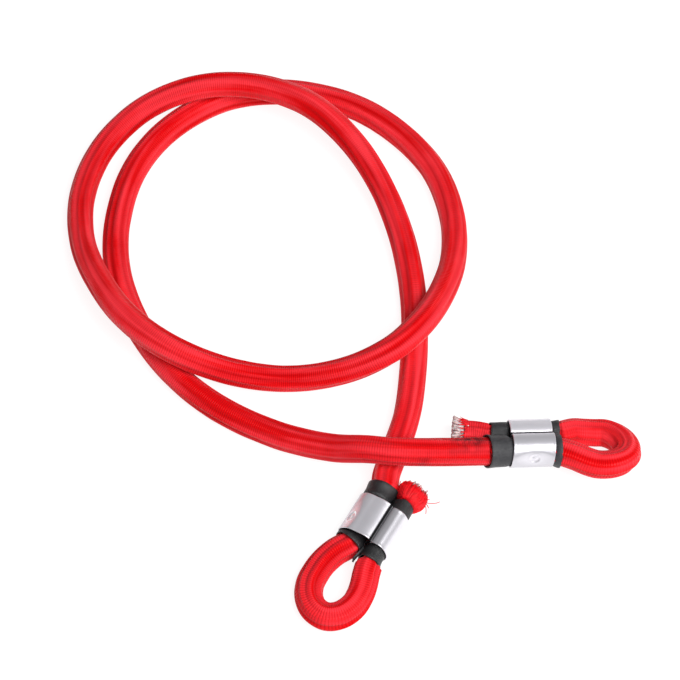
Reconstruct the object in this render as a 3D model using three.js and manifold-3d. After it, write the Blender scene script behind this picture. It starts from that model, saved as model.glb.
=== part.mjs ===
// A bungee cord lying in a loose double coil, with an eye clamped at each end.
// Millimetres, +Z up. The cord lies on z = 0, and the origin is under the middle of its box.

import * as THREE from 'three';
import { mergeVertices } from 'three/addons/utils/BufferGeometryUtils.js';
import Module from 'manifold-3d';

const wasm = await Module();
wasm.setup();

// Cord: a braided sheath round a core of latex threads
const CORD_DIAMETER = 14;
const SHEATH_WALL = 2;
const CORE_CLEARANCE = 0.3;
const FLAT_DEPTH = 0.1 * CORD_DIAMETER; // pressed flat by this much where it lies
const CROSSING_GAP = 0.8; // air between the cord and itself where it crosses
const CUT_GAP = 0.3; // air between the end faces of neighbouring stretches

// Legs: the cord is squeezed sideways where the clamp holds it
const LEG_HEIGHT = 13.6;
const MAIN_LEG_WIDTH = 12.2;
const TAIL_LEG_WIDTH = 9.2;
const SQUEEZE_LENGTH = 4.5; // over which the cord goes from round to squeezed

// Rubber sleeves on the legs, and the clamp round both
const SLEEVE_CLEARANCE = 0.25;
const SLEEVE_WALL = 0.75;
const CLAMP_CLEARANCE = 0.25;
const CLAMP_WALL = 0.8;
const CLAMP_LENGTH = 21.4;
const DENT_RADIUS = 4.2; // of the ball that punched the dent
const DENT_DEPTH = 0.5;

// Eyes
const EYE_WIDTH = 24.4; // across the loop, between the cord's middles
const NEAR_FLARE = 3; // power by which the near side swings out of the main leg, high is sooner
const NEAR_BULGE = 1.3; // by which it swings out further on its way

// The two ends. Lengths run from the middle of the clamp or, for sleeves, from its edges.
const FRONT = {
  name: 'front',
  x: 9.8,
  y: -109.4,
  turn: -119.6, // degrees round +Z, of the line from the clamp to the eye
  roll: 0, // degrees by which the tail leg lies lower than the main leg
  eyeReach: 55.3,
  eyeOffset: -0.55, // of the loop's middle from the middle of the two legs
  farFlare: 1.5, // power by which the eye's far side swings out of the tail leg
  eyeLift: 0, // of the eye's near side above its far side, which lies on the floor
  mouthSleeve: 8.2,
  mainSleeve: 4.5, // past the clamp, on the side of the eye
  tailSleeve: 8,
  cutSleeve: 6,
  tailLength: 9.2, // of sheath past its sleeve
  tailSplay: 0.5,
  tailEndWidth: 16,
  coreTip: 1,
  coreTipWidth: 10,
  neck: 18, // length of cord that bends beside the clamp
  lead: 55, // length of cord that stretches next to it
};
const RIGHT = {
  name: 'right',
  x: 95.2,
  y: -72.9,
  turn: 1.75,
  roll: 26,
  eyeReach: 48.35,
  eyeOffset: -1.6,
  farFlare: 3,
  eyeLift: 8,
  mouthSleeve: 11.2,
  mainSleeve: 3.2,
  tailSleeve: 4.2,
  cutSleeve: 10,
  tailLength: 14,
  tailSplay: 3.5,
  tailEndWidth: 12.5,
  coreTip: 7,
  coreTipWidth: 15,
  neck: 16,
  lead: 22,
};

// Route of the cord from the front clamp to the right one: x, y and how far it is lifted,
// 0 on the floor and 1 where it lies on another stretch of itself
const ROUTE = [
  [20.7, -83.5, 0.12],
  [24.2, -72, 0.03],
  [31.9, -45.6, 0],
  [36.2, -7.6, 0],
  [36.2, 26.4, 0],
  [30.7, 62.4, 0.12],
  [19.2, 95.4, 0.38],
  [2.2, 122.4, 0.74],
  [-19.8, 142.9, 1],
  [-49.8, 155.4, 1],
  [-80.8, 154.6, 1.02],
  [-109.8, 145.4, 0.58],
  [-131.8, 124.9, 0.12],
  [-142.8, 93.4, 0.05],
  [-141.3, 60.4, 0.22],
  [-130.8, 30.4, 0.68],
  [-113.8, 3.4, 1],
  [-89.8, -15.9, 1],
  [-59.8, -24.4, 0.45],
  [-28.8, -24.9, 0.03],
  [0.2, -22.9, 0.38],
  [23.2, -15.6, 0.9],
  [38.2, -1.6, 1],
  [50.2, 21.4, 0.6],
  [57.7, 48.4, 0.15],
  [58.2, 77.4, 0],
  [48.2, 109.4, 0],
  [27.2, 136.4, 0],
  [1.2, 153.9, 0],
  [-33.8, 162.4, 0],
  [-66.8, 157.9, 0],
  [-95.8, 138.4, 0],
  [-114.8, 110.4, 0],
  [-123.3, 74.4, 0],
  [-121.8, 42.4, 0],
  [-111.8, 12.4, 0],
  [-92.8, -17.6, 0],
  [-67.8, -41.1, 0],
  [-36.8, -58.1, 0.02],
  [-6.8, -69.7, 0.42],
  [11.2, -75.3, 1],
  [24.2, -77.6, 1.12],
  [42.2, -76.8, 0.95],
];
const MOUTH_RUN = 4; // straight length in front of each main leg's sleeve
const LEG_RUN = 3; // straight length where a leg leaves its sleeve for the eye or the tail

// Facets
const CORD_SIDES = 12;
const SLEEVE_SIDES = 28;
const COIL_STEP = 22; // along the cord, between two rings of points
const NECK_STEP = 6;
const EYE_STEP = 5.5;

// Sizes that follow from these
const CORD_RADIUS = CORD_DIAMETER / 2;
const REST_Z = CORD_RADIUS - FLAT_DEPTH;
const LIFT = CORD_DIAMETER + CROSSING_GAP;
const SLEEVE_GROWTH = SLEEVE_CLEARANCE + SLEEVE_WALL; // from the cord to a sleeve's outside
const BORE_GROWTH = SLEEVE_GROWTH + CLAMP_CLEARANCE; // from the cord to the clamp's bore
const LEG_SPACING = MAIN_LEG_WIDTH / 2 + TAIL_LEG_WIDTH / 2 + 2 * BORE_GROWTH + CLAMP_WALL;
const CLAMP_TOP = LEG_HEIGHT / 2 + BORE_GROWTH + CLAMP_WALL;
const CLAMP_TAIL_HALF = TAIL_LEG_WIDTH / 2 + BORE_GROWTH + CLAMP_WALL;
const EYE_RADIUS = EYE_WIDTH / 2;

const sheathRed = new THREE.MeshStandardMaterial({ color: 0xe02a32, roughness: 0.55 });
const latexWhite = new THREE.MeshStandardMaterial({ color: 0xe6d6d2, roughness: 0.7 });
const rubberBlack = new THREE.MeshStandardMaterial({ color: 0x2c2d30, roughness: 0.5 });
const clampMetal = new THREE.MeshStandardMaterial({
  color: 0xc9c8d0,
  roughness: 0.25,
  metalness: 1,
});

const group = new THREE.Group();

function addMesh(parent, name, geometry, material) {
  const mesh = new THREE.Mesh(geometry, material.clone());
  mesh.name = name;
  parent.add(mesh);
}

function curveThrough(points) {
  const curve = new THREE.CatmullRomCurve3(points, false, 'centripetal');
  curve.arcLengthDivisions = 40 * points.length;
  return curve;
}

// Points of one elliptic ring round the curve, with its flat side down
function ring(curve, distance, [halfWidth, halfHeight]) {
  const u = THREE.MathUtils.clamp(distance / curve.getLength(), 0, 1);
  const middle = curve.getPointAt(u);
  const tangent = curve.getTangentAt(u);
  const side = new THREE.Vector3(0, 0, 1).cross(tangent).normalize();
  const up = tangent.clone().cross(side);
  return Array.from({ length: CORD_SIDES }, (_, k) => {
    const angle = ((k + 0.5) / CORD_SIDES) * 2 * Math.PI;
    return middle
      .clone()
      .addScaledVector(side, halfWidth * Math.sin(angle))
      .addScaledVector(up, -halfHeight * Math.cos(angle));
  });
}

// Moves points that would lie below the floor up to it
function pressFlat(points, placement) {
  const back = placement.clone().invert();
  for (const point of points) {
    point.applyMatrix4(placement);
    point.z = Math.max(point.z, 0);
    point.applyMatrix4(back);
  }
}

// Closed body between rings of points, hollow where inner rings are given
function skin(outer, inner) {
  const n = CORD_SIDES;
  const last = outer.length - 1;
  const points = outer.flat();
  const triangles = [];
  const quad = (a, b, c, d) => triangles.push(a, b, c, a, c, d);
  const eachSide = (action) => {
    for (let k = 0; k < n; k++) action(k, (k + 1) % n);
  };
  for (let i = 0; i < last; i++) {
    eachSide((k, m) => quad(i * n + k, i * n + m, (i + 1) * n + m, (i + 1) * n + k));
  }
  if (inner) {
    const base = points.length;
    points.push(...inner.flat());
    for (let i = 0; i < last; i++) {
      const here = base + i * n;
      eachSide((k, m) => quad(here + k, here + n + k, here + n + m, here + m));
    }
    eachSide((k, m) => quad(base + k, base + m, m, k));
    const end = last * n;
    eachSide((k, m) => quad(end + k, end + m, base + end + m, base + end + k));
  } else {
    const centre = (ringPoints) => {
      const sum = new THREE.Vector3();
      for (const point of ringPoints) sum.add(point);
      return points.push(sum.divideScalar(n)) - 1;
    };
    const start = centre(outer[0]);
    const finish = centre(outer[last]);
    eachSide((k, m) => triangles.push(start, m, k));
    eachSide((k, m) => triangles.push(finish, last * n + k, last * n + m));
  }
  const geometry = new THREE.BufferGeometry().setFromPoints(points);
  geometry.setIndex(triangles);
  geometry.computeVertexNormals();
  return geometry;
}

// Distances along a curve from one to another, both included, at most a step apart
function spaced(from, to, step) {
  const count = Math.max(1, Math.ceil((to - from) / step));
  return Array.from({ length: count + 1 }, (_, i) => from + ((to - from) * i) / count);
}

// Sheath and core of one stretch of the curve, with rings at the given distances. shapeAt gives
// the sheath's outer half sizes at a distance, placement takes the curve's frame to the floor's,
// and tipRings carry the core on past the sheath's end.
function cordStretch(curve, distances, shapeAt, placement, tipRings = []) {
  const ringsAt = (inset) =>
    distances.map((s) => ring(curve, s, shapeAt(s).map((half) => half - inset)));
  const outer = ringsAt(0);
  for (const points of outer) pressFlat(points, placement);
  return {
    sheath: skin(outer, ringsAt(SHEATH_WALL)),
    core: skin([...ringsAt(SHEATH_WALL + CORE_CLEARANCE), ...tipRings]),
  };
}

function addStretch(parent, name, stretch) {
  addMesh(parent, `${name}_sheath`, stretch.sheath, sheathRed);
  addMesh(parent, `${name}_core`, stretch.core, latexWhite);
}

function ellipse(halfWidth, halfHeight) {
  const shape = new THREE.Shape();
  shape.absellipse(0, 0, halfWidth, halfHeight, 0, 2 * Math.PI);
  return shape;
}

// Extrudes a shape drawn in the plane of the legs' sections, along the legs from one x to another
function alongLegs(shape, fromX, toX) {
  const geometry = new THREE.ExtrudeGeometry(shape, {
    depth: toX - fromX,
    bevelEnabled: false,
    curveSegments: SLEEVE_SIDES,
  });
  const alongX = new THREE.Matrix4().makeBasis(
    new THREE.Vector3(0, 1, 0),
    new THREE.Vector3(0, 0, 1),
    new THREE.Vector3(1, 0, 0),
  );
  return geometry.applyMatrix4(alongX).translate(fromX, 0, 0);
}

function solidOf(geometry) {
  const bare = geometry.clone();
  bare.deleteAttribute('normal');
  bare.deleteAttribute('uv');
  const merged = mergeVertices(bare);
  return new wasm.Manifold(
    new wasm.Mesh({
      numProp: 3,
      vertProperties: new Float32Array(merged.attributes.position.array),
      triVerts: new Uint32Array(merged.index.array),
    }),
  );
}

function geometryOf(solid) {
  const mesh = solid.getMesh();
  const geometry = new THREE.BufferGeometry();
  geometry.setAttribute('position', new THREE.BufferAttribute(mesh.vertProperties, 3));
  geometry.setIndex(new THREE.BufferAttribute(mesh.triVerts, 1));
  geometry.computeVertexNormals();
  return geometry;
}

// Two tubes side by side that share a wall, with a dent punched into the main one
function clampGeometry() {
  const legs = [
    { halfWidth: MAIN_LEG_WIDTH / 2, y: 0 },
    { halfWidth: TAIL_LEG_WIDTH / 2, y: LEG_SPACING },
  ];
  const tube = (leg, growth, overrun) =>
    alongLegs(
      ellipse(leg.halfWidth + growth, LEG_HEIGHT / 2 + growth),
      -CLAMP_LENGTH / 2 - overrun,
      CLAMP_LENGTH / 2 + overrun,
    ).translate(0, leg.y, 0);
  const [main, tail] = legs.map((leg) => solidOf(tube(leg, BORE_GROWTH + CLAMP_WALL, 0)));
  const bores = legs.map((leg) => solidOf(tube(leg, BORE_GROWTH, 1)));
  const ball = new THREE.SphereGeometry(DENT_RADIUS, 20, 12);
  const surfaceY = -(MAIN_LEG_WIDTH / 2 + BORE_GROWTH + CLAMP_WALL);
  ball.translate(0, surfaceY - DENT_RADIUS + DENT_DEPTH, 0);
  const walls = main.add(tail).subtract(bores[0]).subtract(bores[1]);
  return geometryOf(walls.subtract(solidOf(ball)));
}

function sleeveGeometry(legWidth, fromX, toX, y) {
  const bore = [legWidth / 2 + SLEEVE_CLEARANCE, LEG_HEIGHT / 2 + SLEEVE_CLEARANCE];
  const shape = ellipse(...bore.map((half) => half + SLEEVE_WALL));
  shape.holes.push(ellipse(...bore));
  return alongLegs(shape, fromX, toX).translate(0, y, 0);
}

// Stations along one end, from the middle of its clamp
function stationsOf(end) {
  const edge = CLAMP_LENGTH / 2;
  return {
    mouth: -edge - end.mouthSleeve,
    mainExit: edge + end.mainSleeve,
    tailEntry: edge + end.tailSleeve,
    tailExit: -edge - end.cutSleeve,
    cut: -edge - end.cutSleeve - end.tailLength,
    eyeMiddle: end.eyeReach - EYE_RADIUS,
    eyeMiddleY: LEG_SPACING / 2 + end.eyeOffset,
  };
}

// Height of the main leg's line, with the clamp's tail tube on the floor
function heightOf(end) {
  const roll = THREE.MathUtils.degToRad(end.roll);
  const reach = Math.hypot(CLAMP_TOP * Math.cos(roll), CLAMP_TAIL_HALF * Math.sin(roll));
  return Math.max(CLAMP_TOP, LEG_SPACING * Math.sin(roll) + reach);
}

// Takes an end's own frame, x from clamp to eye and y from main leg to tail leg, to the floor
function placementOf(end) {
  const turn = THREE.MathUtils.degToRad(end.turn);
  const roll = THREE.MathUtils.degToRad(-end.roll);
  return new THREE.Matrix4()
    .makeRotationZ(turn)
    .multiply(new THREE.Matrix4().makeRotationX(roll))
    .setPosition(end.x, end.y, heightOf(end));
}

// Point on the tail leg's line, moved level with the floor away from the main leg by splay
function tailPoint(end, x, splay) {
  const roll = THREE.MathUtils.degToRad(end.roll);
  return new THREE.Vector3(x, LEG_SPACING + splay * Math.cos(roll), splay * Math.sin(roll));
}

// Middle line of the cord from the clamp's mouth round the eye to the cut tail
function eyeCurve(end) {
  const at = stationsOf(end);
  const roll = THREE.MathUtils.degToRad(end.roll);
  const nearY = at.eyeMiddleY - EYE_RADIUS;
  const farY = at.eyeMiddleY + EYE_RADIUS;
  // The far side of the eye lies on the floor, and the near side is lifted
  const eyeZ = (y) => {
    const floorZ = REST_Z + (end.eyeLift * (farY - y)) / EYE_WIDTH;
    return (floorZ - heightOf(end) + y * Math.sin(roll)) / Math.cos(roll);
  };
  const flare = (fromX, fromY, toY, power, bulge, t) => {
    const x = THREE.MathUtils.lerp(fromX + LEG_RUN, at.eyeMiddle, t);
    const swing = THREE.MathUtils.lerp(fromY, toY, 1 - (1 - t) ** power);
    const y = swing - bulge * Math.sin(Math.PI * t);
    return new THREE.Vector3(x, y, eyeZ(y) * THREE.MathUtils.smoothstep(t, 0, 1));
  };
  const onArc = (degrees) => {
    const angle = THREE.MathUtils.degToRad(degrees);
    const x = at.eyeMiddle + EYE_RADIUS * Math.cos(angle);
    const y = at.eyeMiddleY + EYE_RADIUS * Math.sin(angle);
    return new THREE.Vector3(x, y, eyeZ(y));
  };
  const tail = (x, splay) => tailPoint(end, x, splay);
  return curveThrough([
    new THREE.Vector3(at.mouth, 0, 0),
    new THREE.Vector3(0, 0, 0),
    new THREE.Vector3(at.mainExit, 0, 0),
    new THREE.Vector3(at.mainExit + LEG_RUN, 0, 0),
    ...[0.3, 0.6, 0.85].map((t) => flare(at.mainExit, 0, nearY, NEAR_FLARE, NEAR_BULGE, t)),
    ...[-75, -45, -15, 15, 45, 75].map(onArc),
    ...[0.85, 0.6, 0.3].map((t) => flare(at.tailEntry, LEG_SPACING, farY, end.farFlare, 0, t)),
    tail(at.tailEntry + LEG_RUN, 0),
    tail(at.tailEntry, 0),
    tail(0, 0),
    tail(at.tailExit, 0),
    tail(at.tailExit - LEG_RUN, 0),
    tail((at.tailExit + at.cut) / 2, end.tailSplay * 0.3),
    tail(at.cut, end.tailSplay),
    tail(at.cut - end.coreTip, end.tailSplay * 1.3),
  ]);
}

// Distance along a curve to the point of it nearest to a given one
function distanceTo(curve, point) {
  const samples = 2000;
  let best = 0;
  let least = Infinity;
  for (let i = 0; i <= samples; i++) {
    const gap = curve.getPointAt(i / samples).distanceTo(point);
    if (gap < least) {
      least = gap;
      best = i / samples;
    }
  }
  return best * curve.getLength();
}

// Half sizes of the cord from the clamp's mouth to its cut end
function eyeShape(end, curve) {
  const at = stationsOf(end);
  const round = [CORD_RADIUS, CORD_RADIUS];
  const main = [MAIN_LEG_WIDTH / 2, LEG_HEIGHT / 2];
  const tail = [TAIL_LEG_WIDTH / 2, LEG_HEIGHT / 2];
  const cut = [end.tailEndWidth / 2, Math.max(end.tailEndWidth, CORD_DIAMETER) / 2];
  const mainExit = distanceTo(curve, new THREE.Vector3(at.mainExit, 0, 0));
  const tailEntry = distanceTo(curve, tailPoint(end, at.tailEntry, 0));
  const tailExit = distanceTo(curve, tailPoint(end, at.tailExit, 0));
  const cutDistance = distanceTo(curve, tailPoint(end, at.cut, end.tailSplay));
  const stops = [
    [0, main],
    [mainExit, main],
    [mainExit + SQUEEZE_LENGTH, round],
    [tailEntry - SQUEEZE_LENGTH, round],
    [tailEntry, tail],
    [tailExit, tail],
    [cutDistance, cut],
    [curve.getLength(), cut],
  ];
  const shapeAt = (s) => {
    const next = Math.max(1, stops.findIndex(([stop], i) => i > 0 && s <= stop + 1e-6));
    const [fromS, fromShape] = stops[next - 1];
    const [toS, toShape] = stops[next];
    const t = THREE.MathUtils.smoothstep(s, fromS, toS);
    return fromShape.map((half, i) => THREE.MathUtils.lerp(half, toShape[i], t));
  };
  const distances = [0];
  for (const [stop] of stops.slice(1, -1)) {
    distances.push(...spaced(distances.at(-1), stop, EYE_STEP).slice(1));
  }
  return { shapeAt, cutDistance, distances };
}

// Rings of the core that shows past the sheath's cut end, spreading as its threads do
function coreTipRings(end, curve, shapeAt, cutDistance) {
  const inset = SHEATH_WALL + CORE_CLEARANCE;
  const steps = [0, 0.25, 0.6, 1];
  return steps.map((t) => {
    const s = cutDistance + CUT_GAP + t * (end.coreTip - CUT_GAP);
    const inside = shapeAt(cutDistance).map((half) => half - inset);
    return ring(curve, s, inside.map((half) => THREE.MathUtils.lerp(half, end.coreTipWidth / 2, t)));
  });
}

function addEnd(end) {
  const at = stationsOf(end);
  const placement = placementOf(end);
  const holder = new THREE.Group();
  holder.applyMatrix4(placement);
  group.add(holder);

  const curve = eyeCurve(end);
  const { shapeAt, cutDistance, distances } = eyeShape(end, curve);
  const tipRings = coreTipRings(end, curve, shapeAt, cutDistance);
  addStretch(
    holder,
    `${end.name}_eye`,
    cordStretch(curve, distances, shapeAt, placement, tipRings),
  );

  const mainSleeve = sleeveGeometry(MAIN_LEG_WIDTH, at.mouth, at.mainExit, 0);
  const tailSleeve = sleeveGeometry(TAIL_LEG_WIDTH, at.tailExit, at.tailEntry, LEG_SPACING);
  addMesh(holder, `${end.name}_main_sleeve`, mainSleeve, rubberBlack);
  addMesh(holder, `${end.name}_tail_sleeve`, tailSleeve, rubberBlack);
  addMesh(holder, `${end.name}_clamp`, clampGeometry(), clampMetal);
}

// Two points on the line of an end's main leg: its sleeve's mouth, and a straight run before it
function mouthPoints(end) {
  const placement = placementOf(end);
  const { mouth } = stationsOf(end);
  return [mouth, mouth - MOUTH_RUN].map((x) =>
    new THREE.Vector3(x, 0, 0).applyMatrix4(placement),
  );
}

function routeCurve() {
  const middle = ROUTE.map(([x, y, lift]) => new THREE.Vector3(x, y, REST_Z + lift * LIFT));
  return curveThrough([...mouthPoints(FRONT), ...middle, ...mouthPoints(RIGHT).reverse()]);
}

// Least air between stretches of the cord that are not neighbours along it
function leastGap(curve) {
  const count = Math.ceil(curve.getLength() / 3);
  const spacing = curve.getLength() / count;
  const points = curve.getSpacedPoints(count);
  const apart = Math.ceil((4 * CORD_DIAMETER) / spacing);
  let least = Infinity;
  for (let i = 0; i < points.length; i++) {
    for (let j = i + apart; j < points.length; j++) {
      least = Math.min(least, points[i].distanceTo(points[j]));
    }
  }
  return least - CORD_DIAMETER;
}

function addCoil() {
  const curve = routeCurve();
  const length = curve.getLength();
  const floor = new THREE.Matrix4();
  const squeezed = [MAIN_LEG_WIDTH / 2, LEG_HEIGHT / 2];
  const shapeAt = (s) => {
    const t = THREE.MathUtils.smoothstep(Math.min(s, length - s), 0, SQUEEZE_LENGTH);
    return squeezed.map((half) => THREE.MathUtils.lerp(half, CORD_RADIUS, t));
  };
  const cuts = [0, FRONT.neck, FRONT.neck + FRONT.lead];
  cuts.push(length - RIGHT.neck - RIGHT.lead, length - RIGHT.neck, length);
  const names = ['front_neck', 'front_lead', 'coil', 'right_lead', 'right_neck'];
  names.forEach((name, i) => {
    const step = name === 'coil' ? COIL_STEP : NECK_STEP;
    const from = cuts[i] + CUT_GAP / 2;
    const to = cuts[i + 1] - CUT_GAP / 2;
    addStretch(group, name, cordStretch(curve, spaced(from, to, step), shapeAt, floor));
  });
  console.log(`cord from clamp to clamp: ${length.toFixed(0)} mm`);
  console.log(`least gap of the cord to itself: ${leastGap(curve).toFixed(2)} mm`);
}

addCoil();
addEnd(FRONT);
addEnd(RIGHT);

export default group;
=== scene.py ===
import math

import bpy
import numpy as np
from mathutils import Matrix


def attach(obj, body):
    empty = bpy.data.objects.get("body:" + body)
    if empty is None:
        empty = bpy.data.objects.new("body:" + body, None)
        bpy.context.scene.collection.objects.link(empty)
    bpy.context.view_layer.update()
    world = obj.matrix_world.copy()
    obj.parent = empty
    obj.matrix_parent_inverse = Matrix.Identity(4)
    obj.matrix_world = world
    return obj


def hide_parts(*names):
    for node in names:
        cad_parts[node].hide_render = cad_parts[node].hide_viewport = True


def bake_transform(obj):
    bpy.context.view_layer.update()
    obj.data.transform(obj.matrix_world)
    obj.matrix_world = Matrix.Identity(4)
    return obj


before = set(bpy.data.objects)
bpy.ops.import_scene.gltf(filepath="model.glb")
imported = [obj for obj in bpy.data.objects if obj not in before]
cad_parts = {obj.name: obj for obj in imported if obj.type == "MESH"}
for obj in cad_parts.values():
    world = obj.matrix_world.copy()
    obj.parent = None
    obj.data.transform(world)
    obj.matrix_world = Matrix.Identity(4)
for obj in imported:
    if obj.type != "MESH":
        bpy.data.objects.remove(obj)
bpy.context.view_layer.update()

MM = 0.001
rng = np.random.default_rng(14)

# Sizes of the solids, in millimetres
CORD_DIAMETER = 14.0
CORD_RADIUS = CORD_DIAMETER / 2
REST_Z = CORD_RADIUS - 0.1 * CORD_DIAMETER  # middle of the cord where it lies, pressed flat below
LIFT = CORD_DIAMETER + 0.8  # of its middle where it crosses another strand
LEG_HEIGHT = 13.6
MAIN_LEG_WIDTH = 12.2
TAIL_LEG_WIDTH = 9.2
SLEEVE_CLEARANCE = 0.25
SLEEVE_WALL = 0.75
BORE_GROWTH = 1.25
CLAMP_WALL = 0.8
CLAMP_LENGTH = 21.4
LEG_SPACING = MAIN_LEG_WIDTH / 2 + TAIL_LEG_WIDTH / 2 + 2 * BORE_GROWTH + CLAMP_WALL
CLAMP_GROWTH = BORE_GROWTH + CLAMP_WALL
CLAMP_TOP = LEG_HEIGHT / 2 + CLAMP_GROWTH
CLAMP_MAIN_HALF = MAIN_LEG_WIDTH / 2 + CLAMP_GROWTH
CLAMP_TAIL_HALF = TAIL_LEG_WIDTH / 2 + CLAMP_GROWTH
CLEFT_Y = LEG_SPACING * CLAMP_MAIN_HALF / (CLAMP_MAIN_HALF + CLAMP_TAIL_HALF)

# How the cord runs beside its sleeves: millimetres, or shares where a comment says so
SQUEEZE_LENGTH = 1.9  # over which it goes from round to squeezed
MOUTH_RUN = 1.0  # straight length in front of each mouth
LEG_RUN = 1.0  # straight length where a leg leaves its sleeve
EXIT_LEAD = 1.0  # inside the clamp's edge, where a main leg starts to step aside
SLEEVE_LEAD = 2.0  # the same for its sleeve
EXIT_GAIN = 1.5  # share of that step at the end of the leg's straight length
FLARE_STEPS = (0.3, 0.6, 0.85)  # shares of the way from a leg to the loop of the eye
ARC_STEPS = (-75, -45, -15, 15, 45, 75)  # degrees round the loop
SAG_RATE = 1.6  # how soon on the way to the loop a far leg's sag is over
LIP_INSET = 0.6  # inside its sleeve's lip, where a tail leg is squeezed
LIP_SPACE = 0.3  # outside a main sleeve's lip, where the cord is round again
TAIL_LEAN, TIP_LEAN = 0.65, 1.3  # shares of a tail's splay half way along it and at its core's tip

# Form of the sleeves and the clamps: millimetres, and counts of points round and along them
SLEEVE_SIDES, CLAMP_SIDES = 56, 160
SLEEVE_STEPS, CLAMP_STEPS, BORE_STEPS = 40, 72, 6
RIM_POINTS = 7
SLEEVE_ROUND, CLAMP_ROUND = 44, 50  # units of the texture round each
SLEEVE_RIM, CLAMP_RIM = 0.3, 0.4
SLEEVE_MEET = 0.66  # swell of a sleeve towards the other one
SLEEVE_TUCK = 0.85  # by which a sleeve is drawn in inside the clamp
SLEEVE_EASE = 1.0  # to either side of the clamp's edge, over which it fills out
LIP_REACH = 5.0
LIP_EVEN, LIP_UNEVEN = 0.8, 0.4  # shares of a lip's height
RAGGED_REACH, RAGGED_EDGE, RAGGED_AT = 3.0, 0.5, 7.0
RIPPLE_HEIGHT = 0.12
CLEFT_WIDTH = 0.75
CLEFT_REACH = 4.5
PRESS_DEPTH = 1.0
PRESS_REACH = 9.5
PRESS_SOFTNESS = 0.3
PRESS_SIDE = 0.2  # cosine of the angle from the punch up to which the tube is pressed
PRESS_SHARE = 0.6  # of the wall's thickness, kept where it is pressed
UNPRESSED = 9.0
PUNCH_RADIUS, PUNCH_DEPTH, PUNCH_SLOPE = 2.8, 0.35, 0.7
PUNCH_RIM_HEIGHT, PUNCH_RIM_GAP, PUNCH_RIM_WIDTH = 0.1, 0.3, 0.5
BOSS_HEIGHT, BOSS_RADIUS, BOSS_TOP = 0.3, 1.3, 0.6
UNEVEN_HEIGHT = 0.05  # of the clamp's wall
RIM_FLARE, RIM_FLARE_REACH = 0.1, 1.6

# The two ends: sizes in millimetres, angles in degrees, the rest powers, slopes and shares.
# lips and slants are those of the main sleeve at its mouth and its eye, then of the tail sleeve at
# its cut and its eye. sleeve_tones are the main and the tail sleeve's. The highlight share paints a
# highlight on the pressed main tube. The tail tones are painted light and shade on the clamp's tail
# tube, from the wall it shares to its outer side.
FRONT = dict(
    name="front", x=9.8, y=-109.4, turn=-119.6, roll=0.0,
    eye_reach=55.7, eye_offset=-1.5, far_flare=1.5, eye_lift=0.0,
    mouth_sleeve=8.2, main_sleeve=4.5, tail_sleeve=8.0, cut_sleeve=6.0,
    tail_length=9.2, tail_flare=5.0, tail_splay=0.5, tail_end_width=16.0, core_tip=1.0,
    neck=18.0, lead=55.0,
    eye_width=25.2, eye_depth=15.5, eye_skew=-1.2, near_flare=1.6, near_bulge=1.2,
    exit_shift=0.0, far_sag=0.5, lean=0.0,
    tail_cover=1.8, leg_squeeze=0.5, sleeve_tones=(0.3, 0.25),
    main_swell=0.8, tail_swell=-0.6, lips=(0.8, 0.3, -0.2, 1.2), slants=(-1.6, 3.2, 0.8, 0.6),
    main_shift=0.7, tail_shift=1.5, clamp_stretch=1.2, main_tube=0.45, tail_tube=-0.75,
    main_fill=2.1, tail_fill=1.3, cleft_shift=2.0, punch_x=3.1, punch_angle=222.0,
    burnish=0.6, tail_tones=(0.62, 1.25),
)
RIGHT = dict(
    name="right", x=95.2, y=-72.9, turn=1.75, roll=26.0,
    eye_reach=48.35, eye_offset=-2.25, far_flare=3.0, eye_lift=8.0,
    mouth_sleeve=11.2, main_sleeve=3.2, tail_sleeve=4.2, cut_sleeve=10.0,
    tail_length=14.0, tail_flare=1.4, tail_splay=2.0, tail_end_width=14.4, core_tip=7.0,
    neck=16.0, lead=22.0,
    eye_width=24.4, eye_depth=12.2, eye_skew=2.2, near_flare=2.0, near_bulge=0.4,
    exit_shift=1.4, far_sag=-0.5, lean=0.14,
    tail_cover=0.0, leg_squeeze=0.5, sleeve_tones=(1.0, 0.55),
    main_swell=0.5, tail_swell=-0.2, lips=(0.7, 0.6, 0.1, 0.35), slants=(-3.6, 0.0, 0.0, 0.0),
    main_shift=-0.5, tail_shift=-0.6, clamp_stretch=0.0, main_tube=0.0, tail_tube=0.0,
    main_fill=1.0, tail_fill=1.3, cleft_shift=-1.9, punch_x=0.6, punch_angle=272.0,
    burnish=0.25, tail_tones=(1.35, 1.35),
)

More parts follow.
